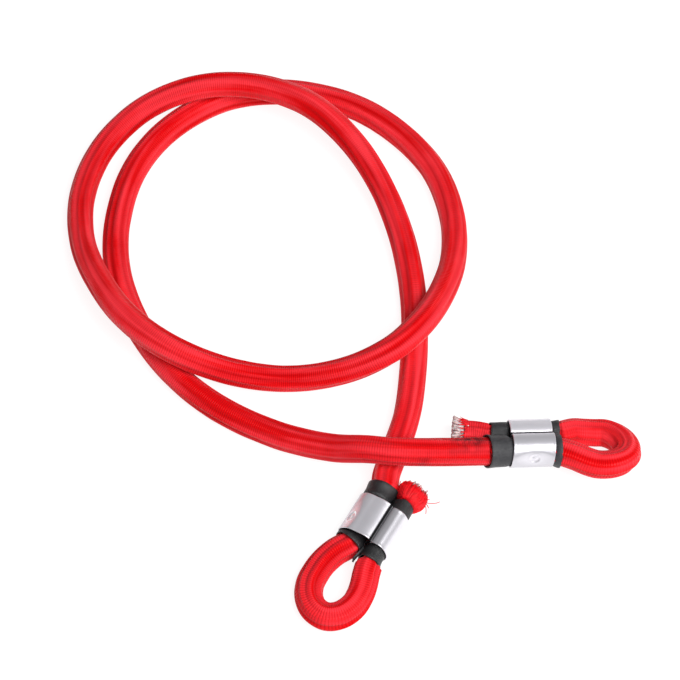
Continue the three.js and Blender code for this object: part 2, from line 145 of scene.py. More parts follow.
# Route of the cord from the front clamp to the right one: metres, and its lift as a share of LIFT
ROUTE = [
    (0.0207, -0.0835, 0.12), (0.0242, -0.0720, 0.03), (0.0319, -0.0456, 0), (0.0362, -0.0076, 0),
    (0.0362, 0.0264, 0), (0.0307, 0.0624, 0.12), (0.0192, 0.0954, 0.38), (0.0022, 0.1224, 0.74),
    (-0.0198, 0.1429, 1), (-0.0498, 0.1554, 1), (-0.0808, 0.1546, 1.02), (-0.1098, 0.1454, 0.58),
    (-0.1318, 0.1249, 0.12), (-0.1428, 0.0934, 0.05), (-0.1413, 0.0604, 0.22),
    (-0.1308, 0.0304, 0.68), (-0.1138, 0.0034, 1), (-0.0898, -0.0159, 1),
    (-0.0598, -0.0244, 0.45), (-0.0288, -0.0249, 0.03), (0.0002, -0.0229, 0.38),
    (0.0232, -0.0156, 0.9), (0.0382, -0.0016, 1), (0.0502, 0.0214, 0.6), (0.0577, 0.0484, 0.15),
    (0.0582, 0.0774, 0), (0.0482, 0.1094, 0), (0.0272, 0.1364, 0), (0.0012, 0.1539, 0),
    (-0.0338, 0.1624, 0), (-0.0668, 0.1579, 0), (-0.0958, 0.1384, 0), (-0.1148, 0.1104, 0),
    (-0.1233, 0.0744, 0), (-0.1218, 0.0424, 0), (-0.1118, 0.0124, 0), (-0.0928, -0.0176, 0),
    (-0.0678, -0.0411, 0), (-0.0368, -0.0581, 0.02), (-0.0068, -0.0697, 0.42),
    (0.0112, -0.0753, 1), (0.0242, -0.0776, 1.12), (0.0422, -0.0768, 0.95),
]

# Braid of the sheath: millimetres, radians round the cord, counts and shares
RIB_PITCH = 1.15
COLUMNS = 24
GROOVES = 9
GROOVE_REACH = 0.46
GROOVE_ROUND = 0.09
GROOVE_DRIFT = 0.16
GROOVE_MEAN, GROOVE_VARIES, GROOVE_LEAST = 0.66, 0.5, 0.15
ROUTE_GROOVE_DEPTH, EYE_GROOVE_DEPTH = 1.15, 1.6
LAY_LENGTH = 1900
CORD_SIDES = 96
RING_STEP = 1.6
EYE_RING_STEP = 0.7
BRAID_STAND = 0.32  # of the braid off the cord's plain size
SWELL_HEIGHT = 0.012 * CORD_RADIUS
LUMP_HEIGHT = 0.05
EYE_FULLNESS, EYE_FULL_RUN = 0.1, 30
CUT_RIM = 1.2  # raggedness of a cut end
RIM_INNER, RIM_DEEP = 0.86, 0.8  # shares of its width to which its edge is turned in
RIM_ROWS = 9  # rings by which the edge is carried back inside
WAVE_GAIN = 1.6
TANGENT_REACH = 0.4


def unit(v):
    return v / np.linalg.norm(v, axis=-1, keepdims=True)


def smoothstep(t, low, high):
    t = np.clip((np.asarray(t, float) - low) / (high - low), 0, 1)
    return t * t * (3 - 2 * t)


def mix(a, b, t):
    return a + (b - a) * t


class Line:
    """Smooth centripetal curve through points, asked by distance along it."""

    def __init__(self, points, per_span=60):
        p = np.array(points, float)
        p = np.vstack([2 * p[0] - p[1], p, 2 * p[-1] - p[-2]])
        t = np.linspace(0, 1, per_span, endpoint=False)[:, None]
        dense = []
        for p0, p1, p2, p3 in zip(p, p[1:], p[2:], p[3:]):
            d0, d1, d2 = (math.sqrt(np.linalg.norm(d)) for d in (p1 - p0, p2 - p1, p3 - p2))
            m1 = ((p1 - p0) / d0 - (p2 - p0) / (d0 + d1) + (p2 - p1) / d1) * d1
            m2 = ((p2 - p1) / d1 - (p3 - p1) / (d1 + d2) + (p3 - p2) / d2) * d1
            c2 = 3 * (p2 - p1) - 2 * m1 - m2
            c3 = 2 * (p1 - p2) + m1 + m2
            dense.append(p1 + m1 * t + c2 * t**2 + c3 * t**3)
        dense.append(p[-2:-1])
        self.points = np.vstack(dense)
        steps = np.linalg.norm(np.diff(self.points, axis=0), axis=1)
        self.marks = np.concatenate([[0], np.cumsum(steps)])
        self.length = self.marks[-1]

    def at(self, s):
        return np.stack([np.interp(s, self.marks, self.points[:, i]) for i in range(3)], axis=-1)

    def tangent(self, s):
        s = np.asarray(s, float)
        low = np.clip(s - TANGENT_REACH, 0, self.length)
        high = np.clip(s + TANGENT_REACH, 0, self.length)
        return unit(self.at(high) - self.at(low))

    def nearest(self, point):
        return self.marks[np.argmin(np.linalg.norm(self.points - point, axis=1))]


# Ends, in their own frames: x from the clamp to the eye, y from the main leg to the tail leg


def stations(end):
    edge = CLAMP_LENGTH / 2
    return dict(
        mouth=-edge - end["mouth_sleeve"],
        main_exit=edge + end["main_sleeve"],
        tail_entry=edge + end["tail_sleeve"],
        tail_exit=-edge - end["cut_sleeve"],
        cut=-edge - end["cut_sleeve"] - end["tail_length"],
        eye_middle=end["eye_reach"] - end["eye_depth"],
        eye_middle_y=LEG_SPACING / 2 + end["eye_offset"],
    )


def main_height(end):
    roll = math.radians(end["roll"])
    reach = math.hypot(CLAMP_TOP * math.cos(roll), CLAMP_TAIL_HALF * math.sin(roll))
    return max(CLAMP_TOP, LEG_SPACING * math.sin(roll) + reach)


def to_floor(end, points):
    """Points of an end's own frame, in the part's frame."""
    turn, roll = math.radians(end["turn"]), math.radians(-end["roll"])
    c, s = math.cos(turn), math.sin(turn)
    about_z = np.array([[c, -s, 0], [s, c, 0], [0, 0, 1]])
    c, s = math.cos(roll), math.sin(roll)
    about_x = np.array([[1, 0, 0], [0, c, -s], [0, s, c]])
    return np.asarray(points) @ (about_z @ about_x).T + [end["x"], end["y"], main_height(end)]


def tail_point(end, x, splay):
    roll = math.radians(end["roll"])
    return np.array([x, LEG_SPACING + splay * math.cos(roll), splay * math.sin(roll)])


def eye_line(end):
    at = stations(end)
    roll = math.radians(end["roll"])
    radius = end["eye_width"] / 2
    near_y, far_y = at["eye_middle_y"] - radius, at["eye_middle_y"] + radius
    exit_y = -end["exit_shift"]

    def eye_z(y):
        floor_z = REST_Z + end["eye_lift"] * (far_y - y) / end["eye_width"]
        return (floor_z - main_height(end) + y * math.sin(roll)) / math.cos(roll)

    def flare(from_x, from_y, to_y, power, t, bulge=0.0, sag=0.0):
        x = mix(from_x + LEG_RUN, at["eye_middle"], t)
        y = mix(from_y, to_y, 1 - (1 - t) ** power) - bulge * math.sin(math.pi * t)
        y -= sag * math.sin(math.pi * min(1, SAG_RATE * t))
        return (x, y, eye_z(y) * float(smoothstep(t, 0, 1)))

    def on_arc(degrees):
        angle = math.radians(degrees)
        y = at["eye_middle_y"] + radius * math.sin(angle)
        depth = end["eye_depth"] - end["eye_skew"] * math.sin(angle)
        x = at["eye_middle"] + depth * math.cos(angle)
        return (x, y, eye_z(y))

    def near(t):
        return flare(at["main_exit"], exit_y, near_y, end["near_flare"], t, bulge=end["near_bulge"])

    def far(t):
        return flare(at["tail_entry"], LEG_SPACING, far_y, end["far_flare"], t, sag=end["far_sag"])

    return Line([
        (at["mouth"], 0, 0), (0, 0, 0), (CLAMP_LENGTH / 2 - EXIT_LEAD, 0, 0),
        (at["main_exit"], exit_y, 0), (at["main_exit"] + LEG_RUN, EXIT_GAIN * exit_y, 0),
        *[near(t) for t in FLARE_STEPS],
        *[on_arc(degrees) for degrees in ARC_STEPS],
        *[far(t) for t in FLARE_STEPS[::-1]],
        tail_point(end, at["tail_entry"] + LEG_RUN, 0), tail_point(end, at["tail_entry"], 0),
        tail_point(end, 0, 0), tail_point(end, at["tail_exit"], 0),
        tail_point(end, at["tail_exit"] - LEG_RUN, 0),
        tail_point(end, (at["tail_exit"] + at["cut"]) / 2, end["tail_splay"] * TAIL_LEAN),
        tail_point(end, at["cut"], end["tail_splay"]),
        tail_point(end, at["cut"] - end["core_tip"], end["tail_splay"] * TIP_LEAN),
    ])


def leg_half(s):
    """Half sizes of the main leg at a distance outside its sleeve's lip."""
    t = smoothstep(s, LIP_SPACE - SQUEEZE_LENGTH, LIP_SPACE)
    return mix(np.array([MAIN_LEG_WIDTH / 2, LEG_HEIGHT / 2]), CORD_RADIUS, t[..., None])


def eye_marks(end, line):
    """Distances along an eye's line: where its legs leave and enter their sleeves, and its cut."""
    at = stations(end)
    covered = end["tail_cover"] - LIP_INSET
    return dict(
        main_exit=line.nearest([at["main_exit"], -end["exit_shift"], 0]),
        tail_entry=line.nearest(tail_point(end, at["tail_entry"], 0)) - covered,
        tail_exit=line.nearest(tail_point(end, at["tail_exit"], 0)),
        cut=line.nearest(tail_point(end, at["cut"], end["tail_splay"])),
    )


def shape_between(stops):
    """Half sizes at distances, eased between stops, each a distance and the half sizes there."""
    marks = [m for m, _ in stops]

    def half(s):
        s = np.asarray(s, float)
        i = np.clip(np.searchsorted(marks, s, side="left"), 1, len(stops) - 1)
        low, high = np.array(marks)[i - 1], np.array(marks)[i]
        t = np.clip((s - low) / np.maximum(high - low, 1e-6), 0, 1)
        t = (t * t * (3 - 2 * t))[:, None]
        sizes = np.array([h for _, h in stops])
        return mix(sizes[i - 1], sizes[i], t)

    return half


def eye_half(end, line, marks):
    """Half sizes of the cord along an eye's line."""
    squeeze = end["leg_squeeze"]
    main = (MAIN_LEG_WIDTH / 2 - squeeze, LEG_HEIGHT / 2 - squeeze)
    tail = (TAIL_LEG_WIDTH / 2 - squeeze, LEG_HEIGHT / 2 - squeeze)
    round_ = (CORD_RADIUS, CORD_RADIUS)
    cut = (end["tail_end_width"] / 2, max(end["tail_end_width"], CORD_DIAMETER) / 2)
    return shape_between([
        (0, tuple(leg_half(0.0))), (SQUEEZE_LENGTH, main),
        (marks["main_exit"] - SQUEEZE_LENGTH, main), (marks["main_exit"] + LIP_SPACE, round_),
        (marks["tail_entry"] - SQUEEZE_LENGTH, round_), (marks["tail_entry"], tail),
        (marks["tail_exit"], tail), (marks["tail_exit"] + end["tail_flare"], cut),
        (marks["cut"], cut), (line.length, cut),
    ])


# Meshes


def new_object(name, verts, faces, material, uv=None, attributes=()):
    mesh = bpy.data.meshes.new(name)
    mesh.from_pydata((np.asarray(verts) * MM).tolist(), [], [list(f) for f in faces])
    mesh.polygons.foreach_set("use_smooth", np.ones(len(mesh.polygons), bool))
    if uv is not None:
        layer = mesh.uv_layers.new(name="braid")
        layer.data.foreach_set("uv", np.asarray(uv, np.float32).ravel())
    for key, values in attributes:
        data = mesh.attributes.new(key, "FLOAT", "POINT").data
        data.foreach_set("value", np.asarray(values, np.float32))
    mesh.materials.append(material)
    mesh.update()
    obj = bpy.data.objects.new(name, mesh)
    bpy.context.collection.objects.link(obj)
    return obj


def grid_faces(rows, columns, wrap_rows=False):
    """Quads of a tube of rows of points, closed round each row."""
    i = np.arange(rows if wrap_rows else rows - 1)[:, None]
    k = np.arange(columns)[None, :]
    nxt, right = (i + 1) % rows, (k + 1) % columns
    here, there = i * columns, nxt * columns
    return np.stack([here + k, here + right, there + right, there + k], -1).reshape(-1, 4)


def grid_uv(u, columns, v_count):
    """Loop coordinates of the quads of grid_faces: u of each row, and v counted round it."""
    rows = len(u) - 1
    k = np.arange(columns)
    v0, v1 = k / columns * v_count, (k + 1) / columns * v_count
    u0, u1 = np.repeat(u[:-1, None], columns, 1), np.repeat(u[1:, None], columns, 1)
    v0, v1 = np.repeat(v0[None], rows, 0), np.repeat(v1[None], rows, 0)
    corners = [np.stack(c, -1) for c in ((u0, v0), (u0, v1), (u1, v1), (u1, v0))]
    return np.stack(corners, 2).reshape(-1, 2)


class Waves:
    """Smooth seeded unevenness over a distance and an angle."""

    def __init__(self, count, longest, shortest, turns):
        self.k = 2 * math.pi / rng.uniform(shortest, longest, count)
        self.m = rng.integers(-turns, turns + 1, count)
        self.p = rng.uniform(0, 2 * math.pi, count)

    def __call__(self, s, angle):
        s, angle = np.asarray(s)[..., None], np.asarray(angle)[..., None]
        return np.sin(self.k * s + self.m * angle + self.p).mean(-1) * WAVE_GAIN


SWELL = Waves(count=5, longest=300, shortest=60, turns=1)
LUMPS = Waves(count=9, longest=40, shortest=9, turns=5)

# Grooves between the lobes of the core that show through the sheath: place round the cord, drift
# and depth
groove_gaps = rng.uniform(0.55, 1.0, GROOVES)
groove_places = np.cumsum(groove_gaps) / groove_gaps.sum() * 2 * math.pi
groove_lines = [
    (
        place,
        Waves(count=4, longest=420, shortest=150, turns=0),
        Waves(count=5, longest=260, shortest=60, turns=0),
    )
    for place in groove_places
]


def groove_depth(s, angle):
    """How far the sheath is drawn in, from 0 on a lobe to 1 in the deepest groove."""
    deepest = np.zeros(np.broadcast(s, angle).shape)
    for place, drift, depth in groove_lines:
        middle = place + 2 * math.pi * s / LAY_LENGTH + GROOVE_DRIFT * drift(s, 0.0)
        gap = np.mod(angle - middle + math.pi, 2 * math.pi) - math.pi
        off = np.sqrt(gap**2 + GROOVE_ROUND**2) - GROOVE_ROUND
        near = np.clip(1 - off / GROOVE_REACH, 0, 1) ** 2
        strength = np.clip(GROOVE_MEAN + GROOVE_VARIES * depth(s, 0.0), GROOVE_LEAST, 1)
        deepest = np.maximum(deepest, near * strength)
    return deepest


def cord_mesh(name, line, distances, half, place, start_s, depth, slack=None, rim=None):
    """Fluted tube of braided sheath along a line. start_s places it along the whole cord."""
    s = np.asarray(distances, float)
    angle = np.arange(CORD_SIDES) / CORD_SIDES * 2 * math.pi
    whole = (start_s + s)[:, None]
    valley = groove_depth(whole, angle[None])
    swell = SWELL_HEIGHT * SWELL(whole, angle[None]) + LUMP_HEIGHT * LUMPS(whole, angle[None])
    grow = BRAID_STAND + swell - depth * valley
    if slack is not None:
        grow = grow + slack(s)[:, None]
    sizes = half(s)
    middle, tangent = line.at(s), line.tangent(s)
    side = unit(np.cross([0, 0, 1.0], tangent))
    up = np.cross(tangent, side)
    out = (sizes[:, :1] + grow) * np.sin(angle)[None]
    down = (sizes[:, 1:] + grow) * np.cos(angle)[None]
    verts = middle[:, None] + side[:, None] * out[..., None] - up[:, None] * down[..., None]
    u = (start_s + s) / RIB_PITCH
    if rim is not None:
        # Ragged cut edge, turned in and carried back inside
        edge = verts[-1] - tangent[-1] * rim * (0.5 + 0.5 * np.sin(5 * angle + 1))[:, None]
        edge = edge - tangent[-1] * rng.uniform(0, rim, CORD_SIDES)[:, None]
        verts[-1] = edge
        inner = middle[-1] + (edge - middle[-1]) * RIM_INNER
        deep = middle[-RIM_ROWS] + (verts[-RIM_ROWS] - middle[-RIM_ROWS]) * RIM_DEEP
        verts = np.concatenate([verts, inner[None], deep[None]])
        u = np.concatenate([u, [u[-1] + 1, u[-1] + 4]])
        # The row carried deepest inside counts as a full groove, so it takes the painted shade of
        # the grooves.
        valley = np.concatenate([valley, valley[-1:], np.ones((1, CORD_SIDES))])
    rows = len(verts)
    world = place(verts.reshape(-1, 3))
    world[:, 2] = np.maximum(world[:, 2], 0)
    return new_object(
        name, world, grid_faces(rows, CORD_SIDES), SHEATH, grid_uv(u, CORD_SIDES, COLUMNS),
        [("groove", valley.ravel()), ("dirt_and_shade", dirt_and_shade_spots(world))],
    )


DIRT_AND_SHADE_SPOTS = [  # place on the cord, in metres, reach and strength of rubbed-in dirt, the last one painted shade
    (0.0590, -0.0712, 0.0230, 0.0060, 0.90), (0.0665, -0.0700, 0.0215, 0.0055, 0.85),
    (0.0528, -0.0785, 0.0200, 0.0024, 0.70), (0.0525, -0.0760, 0.0215, 0.0024, 0.60),
    (0.0400, -0.0815, 0.0200, 0.0045, 0.50), (0.0200, -0.0730, 0.0270, 0.0060, 0.25),
    # Painted shade: this spot darkens the right tail where it lies in shade.
    (0.0650, -0.0590, 0.0130, 0.0080, 0.35),
]


def dirt_and_shade_spots(world):
    total = np.zeros(len(world))
    for x, y, z, reach, strength in DIRT_AND_SHADE_SPOTS:
        gap = np.linalg.norm(world * MM - [x, y, z], axis=1)
        total += strength * np.exp(-((gap / reach) ** 2))
    return total


OFF_THREADS = [0.31, 0.17, 0.93]  # a direction to measure the threads' sections from
THREAD_TAPER = 0.72


def strands(name, lines, radii, material, sides=6):
    """Loose threads as thin tubes with closed ends."""
    verts, faces = [], []
    for line, radius in zip(lines, radii):
        p = np.asarray(line, float)
        tangent = unit(np.gradient(p, axis=0))
        side = unit(np.cross(tangent, OFF_THREADS))
        up = np.cross(tangent, side)
        angle = (np.arange(sides) / sides * 2 * math.pi)[None, :, None]
        taper = np.ones(len(p))
        taper[-1] = THREAD_TAPER
        r = (radius * taper)[:, None, None]
        ring = p[:, None] + r * (side[:, None] * np.cos(angle) + up[:, None] * np.sin(angle))
        base = sum(len(v) for v in verts)
        verts.append(ring.reshape(-1, 3))
        faces += (grid_faces(len(p), sides) + base).tolist()
        faces.append([base + k for k in range(sides)][::-1])
        faces.append([base + (len(p) - 1) * sides + k for k in range(sides)])
    return new_object(name, np.vstack(verts), faces, material)


# Materials


class Nodes:
    """Short way to write a material's node tree."""

    def __init__(self, name):
        self.material = bpy.data.materials.new(name)
        self.material.use_nodes = True
        self.tree = self.material.node_tree
        self.shader = next(n for n in self.tree.nodes if n.type == "BSDF_PRINCIPLED")

    def node(self, kind, inputs=(), **settings):
        node = self.tree.nodes.new(kind)
        for key, value in settings.items():
            setattr(node, key, value)
        for key, value in dict(inputs).items():
            self.set(node.inputs[key], value)
        return node

    def set(self, socket, value):
        if isinstance(value, bpy.types.NodeSocket):
            self.tree.links.new(value, socket)
        else:
            socket.default_value = value

    def math(self, operation, a, b=0.0, c=0.0, clamp=False):
        inputs = {0: a, 1: b, 2: c}
        return self.node("ShaderNodeMath", inputs, operation=operation, use_clamp=clamp).outputs[0]

    def noise(self, vector, scale, detail=3.0, roughness=0.55):
        inputs = {"Vector": vector, "Scale": scale, "Detail": detail, "Roughness": roughness}
        return self.node("ShaderNodeTexNoise", inputs).outputs["Fac"]

    def stretched(self, vector, scale):
        return self.node("ShaderNodeMapping", {"Vector": vector, "Scale": scale}).outputs[0]

    def blend(self, factor, a, b):
        node = self.node("ShaderNodeMix", data_type="RGBA")
        self.set(node.inputs[0], factor)
        self.set(node.inputs[6], a)
        self.set(node.inputs[7], b)
        return node.outputs[2]

    def ramp(self, value, low, high):
        inputs = {"Value": value, "From Min": low, "From Max": high}
        return self.node("ShaderNodeMapRange", inputs).outputs[0]

    def bump(self, height, distance, strength=1.0, normal=None):
        inputs = {"Height": height, "Distance": distance, "Strength": strength}
        if normal is not None:
            inputs["Normal"] = normal
        return self.node("ShaderNodeBump", inputs).outputs[0]

    def finish(self, **inputs):
        for key, value in inputs.items():
            self.set(self.shader.inputs[key.replace("_", " ")], value)
        return self.material


def sheath_material():
    n = Nodes("braided_sheath")
    uv = n.node("ShaderNodeUVMap", uv_map="braid").outputs[0]
    u, v, _ = n.node("ShaderNodeSeparateXYZ", {0: uv}).outputs
    place = n.node("ShaderNodeTexCoord").outputs["Object"]
    groove = n.node("ShaderNodeAttribute", attribute_name="groove").outputs["Fac"]
    dirt_and_shade = n.node("ShaderNodeAttribute", attribute_name="dirt_and_shade").outputs["Fac"]
    # Ribs of yarn run round the cord, crossed by faint columns
    waver = n.noise(place, 170.0, 2.0)
    shifted = n.math("MULTIPLY_ADD", waver, 0.5, u)
    rib = n.math("ABSOLUTE", n.math("SINE", n.math("MULTIPLY", shifted, math.pi)))
    rib = n.math("POWER", rib, 0.75)
    column = n.math("ABSOLUTE", n.math("SINE", n.math("MULTIPLY", v, math.pi)))
    column = n.math("MULTIPLY_ADD", n.math("POWER", column, 1.5), 0.2, 0.8)
    stitch = n.math("MULTIPLY", rib, column)
    fibre = n.noise(place, 2600.0, 2.0)
    height = n.math("MULTIPLY_ADD", fibre, 0.18, stitch)
    # Lanes of lighter and darker yarn run along the cord
    lane = n.noise(n.stretched(uv, (0.012, 0.42, 1.0)), 1.0, 2.0)
    tone = n.math("MULTIPLY_ADD", lane, 0.75, n.math("MULTIPLY", n.noise(place, 42.0, 3.0), 0.25))
    thread = n.noise(place, 520.0, 3.0)
    bright = n.blend(n.ramp(tone, 0.41, 0.59), (0.73, 0.0, 0.002, 1), (0.98, 0.038, 0.054, 1))
    # Painted shade: a darker red between the ribs and columns of the braid and down in the grooves,
    # where shade falls.
    deep = n.blend(thread, (0.36, 0.0, 0.001, 1), (0.48, 0.0005, 0.002, 1))
    painted_crease_shade = n.math("MULTIPLY", n.math("SUBTRACT", 1.0, stitch), 0.3)
    painted_crease_shade = n.math("MULTIPLY_ADD", n.math("POWER", groove, 0.95), 0.52, painted_crease_shade, clamp=True)
    red = n.blend(painted_crease_shade, bright, deep)
    # Rubbed-in dirt darkens the red, and on the right tail the same mark is painted shade.
    dirt_and_shade_mask = n.math("MULTIPLY", dirt_and_shade, n.ramp(n.noise(place, 210.0, 4.0), 0.36, 0.62), clamp=True)
    colour = n.blend(dirt_and_shade_mask, red, (0.085, 0.006, 0.008, 1))
    rough = n.math("MULTIPLY_ADD", thread, 0.14, 0.27)
    rough = n.math("MULTIPLY_ADD", groove, 0.6, rough, clamp=True)
    return n.finish(
        Base_Color=colour, Roughness=rough, Normal=n.bump(height, 0.00022),
        Specular_IOR_Level=0.08,
        Sheen_Weight=0.14, Sheen_Roughness=0.4, Sheen_Tint=(1.0, 0.45, 0.48, 1),
    )


def fray_material():
    n = Nodes("frayed_yarn")
    place = n.node("ShaderNodeTexCoord").outputs["Object"]
    tone = n.ramp(n.noise(place, 700.0, 3.0), 0.3, 0.7)
    colour = n.blend(tone, (0.56, 0.002, 0.006, 1), (0.9, 0.007, 0.015, 1))
    return n.finish(
        Base_Color=colour, Roughness=0.45, Normal=n.bump(n.noise(place, 5200.0, 2.0), 0.0001, 0.5),
        Specular_IOR_Level=0.2,
        Sheen_Weight=0.05, Sheen_Roughness=0.4, Sheen_Tint=(1.0, 0.5, 0.5, 1),
    )


def latex_material():
    n = Nodes("latex_threads")
    place = n.node("ShaderNodeTexCoord").outputs["Object"]
    tone = n.ramp(n.noise(place, 520.0, 4.0), 0.3, 0.7)
    colour = n.blend(tone, (0.34, 0.2, 0.2, 1), (0.84, 0.75, 0.74, 1))
    return n.finish(
        Base_Color=colour, Roughness=n.math("MULTIPLY_ADD", tone, 0.2, 0.45),
        Normal=n.bump(n.noise(place, 1900.0, 3.0), 0.0003, 0.6),
        Subsurface_Weight=0.15, Subsurface_Scale=0.001,
    )


def rubber_material():
    n = Nodes("sleeve_rubber")
    uv = n.node("ShaderNodeUVMap", uv_map="braid").outputs[0]
    place = n.node("ShaderNodeTexCoord").outputs["Object"]
    streak = n.noise(n.stretched(uv, (0.05, 2.2, 1.0)), 4.0, 4.0)
    bloom = n.noise(place, 260.0, 4.0)
    grain = n.noise(place, 3400.0, 2.0)
    tone = n.node("ShaderNodeAttribute", attribute_name="tone").outputs["Fac"]
    worn = n.math("MULTIPLY", streak, bloom)
    rubber = n.blend(worn, (0.012, 0.012, 0.014, 1), (0.085, 0.085, 0.092, 1))
    colour = n.node("ShaderNodeVectorMath", {0: rubber, 3: tone}, operation="SCALE").outputs[0]
    rough = n.math("MULTIPLY_ADD", bloom, 0.3, 0.3)
    height = n.math("MULTIPLY_ADD", grain, 0.25, n.math("MULTIPLY", streak, 0.9))
    return n.finish(Base_Color=colour, Roughness=rough, Normal=n.bump(height, 0.0003, 0.7))


def tape_material():
    n = Nodes("rubber_tape")
    place = n.node("ShaderNodeTexCoord").outputs["Object"]
    worn = n.noise(place, 600.0, 4.0)
    colour = n.blend(worn, (0.003, 0.003, 0.004, 1), (0.015, 0.015, 0.016, 1))
    return n.finish(
        Base_Color=colour, Roughness=n.math("MULTIPLY_ADD", worn, 0.3, 0.35),
        Normal=n.bump(n.noise(place, 2600.0, 2.0), 0.0002, 0.5),
    )


def metal_material():
    n = Nodes("mill_aluminium")
    uv = n.node("ShaderNodeUVMap", uv_map="braid").outputs[0]
    place = n.node("ShaderNodeTexCoord").outputs["Object"]
    cleft = n.node("ShaderNodeAttribute", attribute_name="cleft").outputs["Fac"]
    drawn = n.noise(n.stretched(uv, (0.03, 2.4, 1.0)), 5.0, 4.0)
    cloud = n.noise(place, 150.0, 3.0)
    scuff = n.ramp(n.noise(place, 700.0, 4.0, 0.6), 0.55, 0.8)
    pale = n.math("MULTIPLY", drawn, cloud)
    bare = n.blend(pale, (0.62, 0.605, 0.645, 1), (0.76, 0.745, 0.785, 1))
    # tone paints light on the bare metal: a highlight on the pressed main tube, light and shade on
    # the tail tube.
    tone = n.node("ShaderNodeAttribute", attribute_name="tone").outputs["Fac"]
    bare = n.node("ShaderNodeVectorMath", {0: bare, 3: tone}, operation="SCALE").outputs[0]
    # Painted shade: the metal along the cleft between the tubes is painted near black.
    colour = n.blend(cleft, bare, (0.006, 0.006, 0.007, 1))
    rough = n.math("MULTIPLY_ADD", drawn, 0.1, n.math("MULTIPLY_ADD", scuff, 0.06, 0.3))
    return n.finish(
        Base_Color=colour, Metallic=0.65, Roughness=n.math("MULTIPLY_ADD", cleft, 0.4, rough),
        Normal=n.bump(n.math("MULTIPLY_ADD", scuff, 0.1, drawn), 0.000006),
    )


def floor_material():
    n = Nodes("pale_floor")
    place = n.node("ShaderNodeTexCoord").outputs["Object"]
    colour = n.blend(n.noise(place, 3.0), (0.2, 0.2, 0.2, 1), (0.22, 0.22, 0.22, 1))
    return n.finish(
        Base_Color=colour, Roughness=0.9, Specular_IOR_Level=0.0,
        Emission_Color=(1, 1, 1, 1), Emission_Strength=0.88,
    )


SHEATH = sheath_material()
FRAY = fray_material()
LATEX = latex_material()
RUBBER = rubber_material()
TAPE = tape_material()
METAL = metal_material()

# Camera, at the photograph's angle

camera = bpy.data.objects.new("camera", bpy.data.cameras.new("camera"))
bpy.context.collection.objects.link(camera)
camera.location = (-0.0028, -0.7198, 1.1558)
camera.rotation_euler = (math.radians(32.0), 0, 0)
camera.data.sensor_width = 36.0
camera.data.lens = 136.4
camera.data.clip_start = 0.05
bpy.context.scene.camera = camera

# The cord from clamp to clamp


def mouth_points(end):
    mouth = stations(end)["mouth"]
    return to_floor(end, [(mouth, 0, 0), (mouth - MOUTH_RUN, 0, 0)])


middle_points = [(x / MM, y / MM, REST_Z + lift * LIFT) for x, y, lift in ROUTE]
route = Line([*mouth_points(FRONT), *middle_points, *mouth_points(RIGHT)[::-1]])
LENGTH = route.length
cuts = [
    0, FRONT["neck"], FRONT["neck"] + FRONT["lead"],
    LENGTH - RIGHT["neck"] - RIGHT["lead"], LENGTH - RIGHT["neck"], LENGTH,
]


def route_half(s):
    return leg_half(np.minimum(s, LENGTH - s))


def route_piece(name, low, high, *nodes):
    count = max(2, math.ceil((high - low) / RING_STEP))
    distances = np.linspace(low, high, count + 1)
    obj = cord_mesh(name, route, distances, route_half, lambda p: p, 0.0, ROUTE_GROOVE_DEPTH)
    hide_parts(*nodes)
    return obj


front_neck = route_piece(
    "front_neck_braid", cuts[0], cuts[1], "front_neck_sheath", "front_neck_core")
front_lead = route_piece(
    "front_lead_braid", cuts[1], cuts[2], "front_lead_sheath", "front_lead_core")
coil = route_piece("coil_braid", cuts[2], cuts[3], "coil_sheath", "coil_core")
right_lead = route_piece(
    "right_lead_braid", cuts[3], cuts[4], "right_lead_sheath", "right_lead_core")
right_neck = route_piece(
    "right_neck_braid", cuts[4], cuts[5], "right_neck_sheath", "right_neck_core")

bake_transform(front_neck)
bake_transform(front_lead)
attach(coil, "coil")
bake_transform(right_lead)
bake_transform(right_neck)

# Eyes, sleeves and clamps

# Width of each leg, its place across the clamp and the side of it that faces the other leg
LEGS = dict(
    main=(MAIN_LEG_WIDTH, 0.0, math.pi / 2),
    tail=(TAIL_LEG_WIDTH, LEG_SPACING, 3 * math.pi / 2),
)
FLAP_POINTS = [
    (16.0, 8.2, 3.4), (19.0, 8.0, 4.0), (21.6, 7.4, 3.8), (23.5, 6.9, 3.0), (25.1, 7.0, 2.2),
]
FLAP_FACING = (0.1, 0.75, 0.65)
FLAP_WIDTH = 2.0
FLAP_THICKNESS = 0.8
FLAP_TAPER, FLAP_TAPER_FROM = 0.55, 0.75  # shares of its width and its length
FLAP_RINGS, FLAP_SIDES = 26, 12


def eye_piece(end, line, marks, half):
    cut_at = marks["cut"]
    count = math.ceil(cut_at / EYE_RING_STEP)
    start_s = -cut_at if end is FRONT else LENGTH
    full_from, full_to = marks["main_exit"] + LIP_SPACE, marks["tail_entry"]

    def slack(s):
        """Fullness of the braid at the bend."""
        rise = smoothstep(s, full_from, full_from + EYE_FULL_RUN)
        return EYE_FULLNESS * rise * smoothstep(-s, -full_to, EYE_FULL_RUN - full_to)

    obj = cord_mesh(
        f"{end['name']}_eye_braid", line, np.linspace(0, cut_at, count + 1), half,
        lambda p: to_floor(end, p), start_s, EYE_GROOVE_DEPTH, slack, CUT_RIM,
    )
    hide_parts(f"{end['name']}_eye_sheath", f"{end['name']}_eye_core")
    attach(obj, f"{end['name']}_end")
    return obj


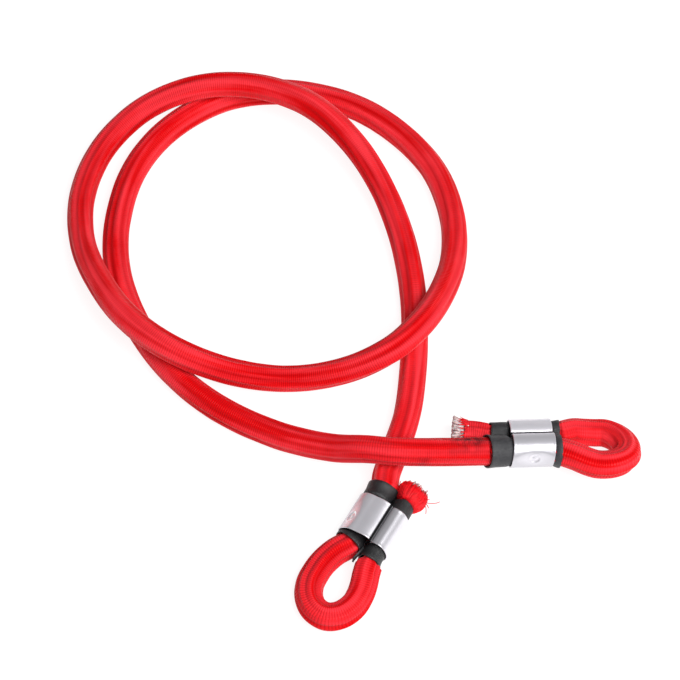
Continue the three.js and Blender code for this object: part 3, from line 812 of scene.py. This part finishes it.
def leg_tube(half, y, profile, sides, warp, v_count):
    """Closed wall round a leg: profile is a loop of (x, growth from the leg), outside first."""
    angle = np.arange(sides) / sides * 2 * math.pi
    x = np.array([p[0] for p in profile])
    growth = np.array([p[1] for p in profile])
    dx, dg = warp(x[:, None], angle[None], growth[:, None])
    grown = growth[:, None] + dg
    points = np.stack(np.broadcast_arrays(
        x[:, None] + dx,
        y + (half[0] + grown) * np.sin(angle)[None],
        -(half[1] + grown) * np.cos(angle)[None],
    ), -1).reshape(-1, 3)
    run = np.concatenate([[0], np.cumsum(np.hypot(np.diff(x), np.diff(growth)))])
    u = np.append(run, run[-1] + 1.0)
    return points, grid_faces(len(profile), sides, wrap_rows=True), grid_uv(u, sides, v_count)


def on_floor(end, points):
    """Points of an end's own frame in the part's frame, none below the floor."""
    world = to_floor(end, points)
    world[:, 2] = np.maximum(world[:, 2], 0)
    return world


def leaned(end, points):
    """Points of tubes whose rims lean along the leg, further the higher they are."""
    roll = math.radians(end["roll"])
    height = points[:, 2] * math.cos(roll) - points[:, 1] * math.sin(roll)
    return points + end["lean"] * height[:, None] * np.array([1.0, 0, 0])


def wall_profile(low, high, inner, outer, steps, rim):
    """Loop round a tube's wall: along the outside, round one rim, back inside, round the other."""
    mid, thick = (inner + outer) / 2, (outer - inner) / 2
    rim = min(rim, thick)
    turn = np.linspace(math.pi / 2, -math.pi / 2, RIM_POINTS)
    outside = [(x, outer) for x in np.linspace(low + rim, high - rim, steps)]
    far = [(high - rim + rim * math.cos(a), mid + thick * math.sin(a)) for a in turn[1:-1]]
    inside = [(x, inner) for x in np.linspace(high - rim, low + rim, BORE_STEPS)]
    back = turn[::-1]
    near = [(low + rim - rim * math.cos(a), mid + thick * math.sin(a)) for a in back[1:-1]]
    return outside + far + inside + near


def sleeve_piece(end, kind, low, high, lips, slants):
    """Rubber sleeve on a leg: drawn in inside the clamp, fuller outside it, with uneven lips."""
    width, y, facing = LEGS[kind]
    edge = CLAMP_LENGTH / 2
    clamp_low = end[f"{kind}_shift"] - edge
    clamp_high = end[f"{kind}_shift"] + end["clamp_stretch"] + edge
    ripple = Waves(count=8, longest=30, shortest=7, turns=4)
    ragged = Waves(count=6, longest=50, shortest=20, turns=5)

    def at_lips(x, reach):
        """How near x is to the sleeve's lower and its higher lip, from 0 at reach to 1."""
        return smoothstep(-x, -low - reach, -low), smoothstep(x, high - reach, high)

    def warp(x, angle, growth):
        outside = smoothstep(growth, SLEEVE_CLEARANCE + 0.1, SLEEVE_CLEARANCE + SLEEVE_WALL)
        free = smoothstep(clamp_low - x, -SLEEVE_EASE, SLEEVE_EASE)
        free = free + smoothstep(x - clamp_high, -SLEEVE_EASE, SLEEVE_EASE)
        at_low, at_high = at_lips(x, LIP_REACH)
        lip = lips[0] * at_low + lips[1] * at_high
        towards = np.clip(np.cos(angle - facing), 0, 1) ** 2
        swell = mix(end[f"{kind}_swell"], SLEEVE_MEET, towards)
        lip = np.where((lip > 0) & (kind == "main"), lip, lip * (1 - towards))
        lip = lip * (LIP_EVEN + LIP_UNEVEN * ragged(x, angle))
        dg = free * (swell + RIPPLE_HEIGHT * ripple(x, angle) * outside + lip)
        dx = sum(at_lips(x, RAGGED_REACH)) * np.sign(x)
        dx = dx * (RAGGED_EDGE * ragged(np.full_like(x, RAGGED_AT), angle) - RAGGED_EDGE / 2)
        slant = slants[0] * smoothstep(-x, -edge, -low) + slants[1] * smoothstep(x, edge, high)
        dx = dx + slant * np.cos((angle - facing) / 2) ** 2
        return dx, dg - (1 - free) * SLEEVE_TUCK

    outer = SLEEVE_CLEARANCE + SLEEVE_WALL
    profile = wall_profile(low, high, SLEEVE_CLEARANCE, outer, SLEEVE_STEPS, SLEEVE_RIM)
    half = (width / 2, LEG_HEIGHT / 2)
    name = f"{end['name']}_{kind}_sleeve"
    points, faces, uv = leg_tube(half, y, profile, SLEEVE_SIDES, warp, SLEEVE_ROUND)
    points = leaned(end, points)
    if kind == "main":
        points[:, 1] -= end["exit_shift"] * smoothstep(points[:, 0], edge - SLEEVE_LEAD, high)
    tone = np.full(len(points), end["sleeve_tones"][kind == "tail"])
    obj = new_object(f"{name}_rubber", on_floor(end, points), faces, RUBBER, uv, [("tone", tone)])
    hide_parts(name)
    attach(obj, f"{end['name']}_end")
    return obj


def clamp_piece(end):
    """Two drawn tubes side by side with rolled rims, the main one pressed flat at a punch mark."""
    uneven = Waves(count=7, longest=40, shortest=14, turns=2)
    edge = CLAMP_LENGTH / 2
    punch_angle = math.radians(end["punch_angle"])

    def moved(x, shift):
        return shift + end["clamp_stretch"] * (x / edge + 1) / 2

    def flared(x):
        return RIM_FLARE * smoothstep(np.abs(x), edge - RIM_FLARE_REACH, edge)

    def filled(angle, kind):
        """Growth that brings the two tubes close together over their shared wall."""
        turn = angle - LEGS[kind][2]
        return end[f"{kind}_fill"] * np.where(np.cos(turn) > 0, np.sin(2 * turn) ** 2, 0)

    def pressed(x, angle, growth):
        """Growth lost where the outer side of the main tube is pressed flat."""
        depth = PRESS_DEPTH * np.clip(1 - ((x - end["punch_x"]) / PRESS_REACH) ** 2, 0, 1)
        outward = np.cos(angle - punch_angle)
        flat = (CLAMP_MAIN_HALF - depth) / np.maximum(outward, PRESS_SIDE) - MAIN_LEG_WIDTH / 2
        flat = flat - PRESS_SHARE * (CLAMP_GROWTH - growth)
        spare = np.where(outward > PRESS_SIDE, flat - growth, UNPRESSED)
        return (spare - np.sqrt(spare**2 + PRESS_SOFTNESS**2)) / 2

    def punched(x, angle):
        """Growth of the punch mark: a bowl with a raised rim and a boss in its middle."""
        across = (np.mod(angle - punch_angle + math.pi, 2 * math.pi) - math.pi) * CLAMP_TOP
        gap = np.hypot(x - end["punch_x"], across)
        bowl = PUNCH_DEPTH * smoothstep(-gap, -PUNCH_RADIUS, PUNCH_SLOPE - PUNCH_RADIUS)
        boss = BOSS_HEIGHT * smoothstep(-gap, -BOSS_RADIUS, -BOSS_TOP)
        off_rim = (gap - PUNCH_RADIUS - PUNCH_RIM_GAP) / PUNCH_RIM_WIDTH
        return PUNCH_RIM_HEIGHT * np.exp(-(off_rim**2)) + boss - bowl

    def warp_main(x, angle, growth):
        mark = punched(x, angle) * (growth > BORE_GROWTH + 0.2)  # on the outside only
        shape = filled(angle, "main") + pressed(x, angle, growth) + mark
        dg = end["main_tube"] + UNEVEN_HEIGHT * uneven(x, angle) + flared(x) + shape
        return moved(x, end["main_shift"]), dg

    def warp_tail(x, angle, growth):
        away = np.sin((angle - LEGS["tail"][2]) / 2) ** 2
        dg = end["tail_tube"] * away + UNEVEN_HEIGHT * uneven(x + 9, angle + 2)
        dg = dg + flared(x) + filled(angle, "tail")
        return moved(x, end["tail_shift"]), dg

    profile = wall_profile(-edge, edge, BORE_GROWTH, CLAMP_GROWTH, CLAMP_STEPS, CLAMP_RIM)
    round_, run = np.arange(CLAMP_SIDES) / CLAMP_SIDES * 2 * math.pi, np.array(profile)
    # Painted highlight: the pressed side of the main tube is made paler, where light glances off
    # it.
    burnish = np.clip(-pressed(run[:, :1], round_[None], run[:, 1:]) / PRESS_DEPTH, 0, 1)
    # Painted light and shade: the tail tube is made lighter or darker from its shared wall to its
    # outer side.
    away = np.sin((round_ - LEGS["tail"][2]) / 2) ** 2
    tail_painted_light = np.broadcast_to(mix(*end["tail_tones"], smoothstep(away, 0.4, 1)), burnish.shape)
    tone = np.concatenate([1 + end["burnish"] * burnish.ravel(), tail_painted_light.ravel()])
    points, faces, uvs = [], [], []
    for kind, warp in (("main", warp_main), ("tail", warp_tail)):
        width, y, _ = LEGS[kind]
        half = (width / 2, LEG_HEIGHT / 2)
        tube, quads, uv = leg_tube(half, y, profile, CLAMP_SIDES, warp, CLAMP_ROUND)
        faces.append(quads + sum(len(v) for v in points))
        points.append(tube)
        uvs.append(uv)
    points = np.vstack(points)
    off_cleft = points[:, 1] - CLEFT_Y
    # Painted shade along the cleft where the two tubes meet.
    cleft = smoothstep(-np.abs(off_cleft), -CLEFT_WIDTH, -0.6 * CLEFT_WIDTH)
    points[:, 1] += end["cleft_shift"] * np.exp(-((off_cleft / CLEFT_REACH) ** 2))
    obj = new_object(
        f"{end['name']}_clamp_metal", on_floor(end, leaned(end, points)), np.vstack(faces),
        METAL, np.vstack(uvs), [("cleft", cleft), ("tone", tone)],
    )
    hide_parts(f"{end['name']}_clamp")
    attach(obj, f"{end['name']}_end")
    return obj


# Frayed ends: millimetres, radians and counts. Roots are where threads start, inside the cut.
GOLDEN_ANGLE = 2.399963
THREAD_ROOT = -3.0
YARN_ROOT = -2.5
CUT_YARNS, FRAYED_YARNS = 70, 420
RIGHT_CUT_WALL, FRONT_CUT_WALL = 1.3, 1.9  # of braid round the threads
YARN_GAP = 1.1  # from the threads out to the cut yarns
TUFT_SWELL = 1.5
LOOSE_RADIUS = 0.2
THREAD_FLOOR = 0.3  # least height of a thread's middle
# Threads that stand off the front tuft: place round it, reach to the side and bend along it
LOOSE_THREADS = [
    (3.0, -5.6, 5.0), (3.5, -3.0, -3.2), (2.6, -2.4, 1.8), (3.2, -2.6, -0.6), (0.4, 1.5, 2.4),
]


def tail_frame(line, s):
    tangent = line.tangent(np.array([s]))[0]
    side = unit(np.cross([0, 0, 1.0], tangent))
    return line.at(np.array([s]))[0], tangent, side, np.cross(tangent, side)


def bunch(end, line, s, half, count, spread, reach_range, dome, wobble):
    """Lines of threads that leave the cord at distance s, packed in an ellipse and spreading."""
    middle, tangent, side, up = tail_frame(line, s)
    lines = []
    for i in range(count):
        r = math.sqrt((i + 0.5) / count)
        a = i * GOLDEN_ANGLE
        y, z = half[0] * r * math.cos(a), half[1] * r * math.sin(a)
        reach = rng.uniform(*reach_range) - dome * r**2
        push = spread * rng.uniform(0.85, 1.15)
        bend = rng.normal(0, wobble, 2)
        t = np.linspace(0, 1, 6)[:, None]
        out = side * (y * (1 + (push - 1) * t**1.5) + bend[0] * t**2)
        lift = up * (z * (1 + (push - 1) * t**1.5) + bend[1] * t**2)
        lines.append(to_floor(end, middle + tangent * mix(THREAD_ROOT, reach, t) + out + lift))
    return lines


def right_tail(end, line, marks, half):
    """Latex threads that spread from the cut, and the cut yarns round them."""
    half = half - RIGHT_CUT_WALL
    threads = bunch(
        end, line, marks["cut"], half * 0.97,
        count=130, spread=1.36, reach_range=(5.0, 6.0), dome=0.6, wobble=0.3,
    )
    thread_radii = rng.uniform(0.6, 0.8, len(threads))
    middle, tangent, side, up = tail_frame(line, marks["cut"])
    yarns = []
    for a in rng.uniform(0, 2 * math.pi, CUT_YARNS):
        ring = side * (half[0] + YARN_GAP) * math.cos(a) + up * (half[1] + YARN_GAP) * math.sin(a)
        reach = rng.uniform(0.2, 2.2)
        t = np.linspace(0, 1, 5)[:, None]
        stray = rng.normal(0, 0.5, 3)
        along = tangent * mix(YARN_ROOT, reach, t)
        yarns.append(to_floor(end, middle + ring * (1 + 0.08 * t) + along + stray * t**2))
    yarn_radii = rng.uniform(0.14, 0.26, len(yarns))
    return [
        ("latex_threads", LATEX, "core", threads, thread_radii),
        ("cut_yarns", FRAY, "sheath", yarns, yarn_radii),
    ]


def front_tail(end, line, marks, half):
    """Tuft of frayed yarns round the latex threads, with a few that stand off."""
    threads = bunch(
        end, line, marks["cut"] - 1.0, (half - FRONT_CUT_WALL) * 0.94,
        count=80, spread=1.06, reach_range=(2.4, 3.7), dome=0.0, wobble=0.25,
    )
    thread_radii = rng.uniform(0.5, 0.64, len(threads))
    middle, tangent, side, up = tail_frame(line, marks["cut"])
    start = line.at(np.array([marks["tail_exit"]]))[0]
    yarns = []
    for a in rng.uniform(0, 2 * math.pi, FRAYED_YARNS):
        around = side * math.cos(a), up * math.sin(a)
        first = start + around[0] * TAIL_LEG_WIDTH / 2 + around[1] * LEG_HEIGHT / 2
        last = middle + rng.uniform(0.8, 1.02) * (around[0] * half[0] + around[1] * half[1])
        last = last + tangent * rng.uniform(-0.5, 1.3)
        t = np.linspace(0, 1, 8)[:, None]
        outward = unit(around[0] + around[1])
        swell = outward * (TUFT_SWELL * np.sin(t * math.pi) ** 0.7 - 1.1 * t**4)
        stray = rng.normal(0, 0.25, 3)
        yarns.append(to_floor(end, mix(first, last, t) + swell + stray * t**2))
    yarn_radii = rng.uniform(0.2, 0.4, len(yarns))
    for a, reach, bend in LOOSE_THREADS:
        t = np.linspace(0, 1, 12)[:, None]
        base = middle + side * (half[0] * math.cos(a)) + up * (half[1] * math.sin(a))
        base = base + tangent * YARN_ROOT
        curl = side * (reach * t) + tangent * (bend * t**2) + up * (0.6 * np.sin(5 * t))
        yarns.append(to_floor(end, base + curl))
    yarn_radii = np.concatenate([yarn_radii, np.full(len(LOOSE_THREADS), LOOSE_RADIUS)])
    return [
        ("latex_threads", LATEX, "core", threads, thread_radii),
        ("frayed_yarns", FRAY, "sheath", yarns, yarn_radii),
    ]


def tail_pieces(end, line, marks, half):
    name = end["name"]
    make = right_tail if end is RIGHT else front_tail
    cut_half = half(np.array([marks["cut"]]))[0]
    made = []
    for label, material, slot, lines, radii in make(end, line, marks, cut_half):
        for p in lines:
            p[:, 2] = np.maximum(p[:, 2], THREAD_FLOOR)
        obj = strands(f"{name}_{label}", lines, radii, material)
        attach(obj, f"{name}_end")
        made.append(obj)
    return made


def tape_flap(end):
    """Loose end of rubber tape that hangs from the main sleeve into the crotch of the eye."""
    line = Line(FLAP_POINTS, per_span=8)
    s = np.linspace(0, line.length, FLAP_RINGS)
    middle, tangent = line.at(s), line.tangent(s)
    wide = unit(np.cross(tangent, FLAP_FACING))
    thick = np.cross(tangent, wide)
    angle = (np.arange(FLAP_SIDES) / FLAP_SIDES * 2 * math.pi)[None, :, None]
    narrow = 1 - FLAP_TAPER * smoothstep(s / line.length, FLAP_TAPER_FROM, 1)
    ring = wide[:, None] * FLAP_WIDTH / 2 * np.cos(angle) * narrow[:, None, None]
    ring = ring + thick[:, None] * FLAP_THICKNESS / 2 * np.sin(angle)
    faces = grid_faces(FLAP_RINGS, FLAP_SIDES).tolist()
    faces.append(list(range(FLAP_SIDES))[::-1])
    faces.append([(FLAP_RINGS - 1) * FLAP_SIDES + k for k in range(FLAP_SIDES)])
    points = (middle[:, None] + ring).reshape(-1, 3)
    obj = new_object(f"{end['name']}_tape_flap", on_floor(end, points), faces, TAPE)
    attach(obj, f"{end['name']}_end")
    return obj


on_cord = []
for end in (FRONT, RIGHT):
    at = stations(end)
    lips, slants = end["lips"], end["slants"]
    line = eye_line(end)
    marks = eye_marks(end, line)
    half = eye_half(end, line, marks)
    on_cord.append(eye_piece(end, line, marks, half))
    on_cord.append(sleeve_piece(end, "main", at["mouth"], at["main_exit"], lips[:2], slants[:2]))
    tail_entry = at["tail_entry"] + end["tail_cover"]
    on_cord.append(sleeve_piece(end, "tail", at["tail_exit"], tail_entry, lips[2:], slants[2:]))
    on_cord.append(clamp_piece(end))
    on_cord += tail_pieces(end, line, marks, half)
on_cord.append(tape_flap(FRONT))

# Floor and light

mesh = bpy.data.meshes.new("floor")
mesh.from_pydata([(-4, -4, 0), (4, -4, 0), (4, 4, 0), (-4, 4, 0)], [], [(0, 1, 2, 3)])
mesh.materials.append(floor_material())
floor = bpy.data.objects.new("floor", mesh)
bpy.context.collection.objects.link(floor)
floor.location.z = -0.0004

# A soft light that faces the frame's origin
KEY_PLACE = (0.8, -0.75, 1.5)
softbox = bpy.data.lights.new("key", "AREA")
softbox.shape = "RECTANGLE"
softbox.size, softbox.size_y = 1.2, 1.2
softbox.energy = 42
key = bpy.data.objects.new("key", softbox)
bpy.context.collection.objects.link(key)
key.location = KEY_PLACE
back = unit(np.array(KEY_PLACE))
across = unit(np.cross([0, 1.0, 0.001], back))
axes = np.stack([across, np.cross(back, across), back], 1)
key.rotation_mode = "QUATERNION"
key.rotation_quaternion = Matrix(axes.tolist()).to_quaternion()

world = bpy.data.worlds.new("studio")
bpy.context.scene.world = world
world.use_nodes = True
tree = world.node_tree
background = next(n for n in tree.nodes if n.type == "BACKGROUND")
background.inputs["Color"].default_value = (0.93, 0.94, 0.96, 1)
background.inputs["Strength"].default_value = 0.34

bpy.context.scene.view_settings.view_transform = "Standard"
bpy.context.scene.view_settings.look = "None"
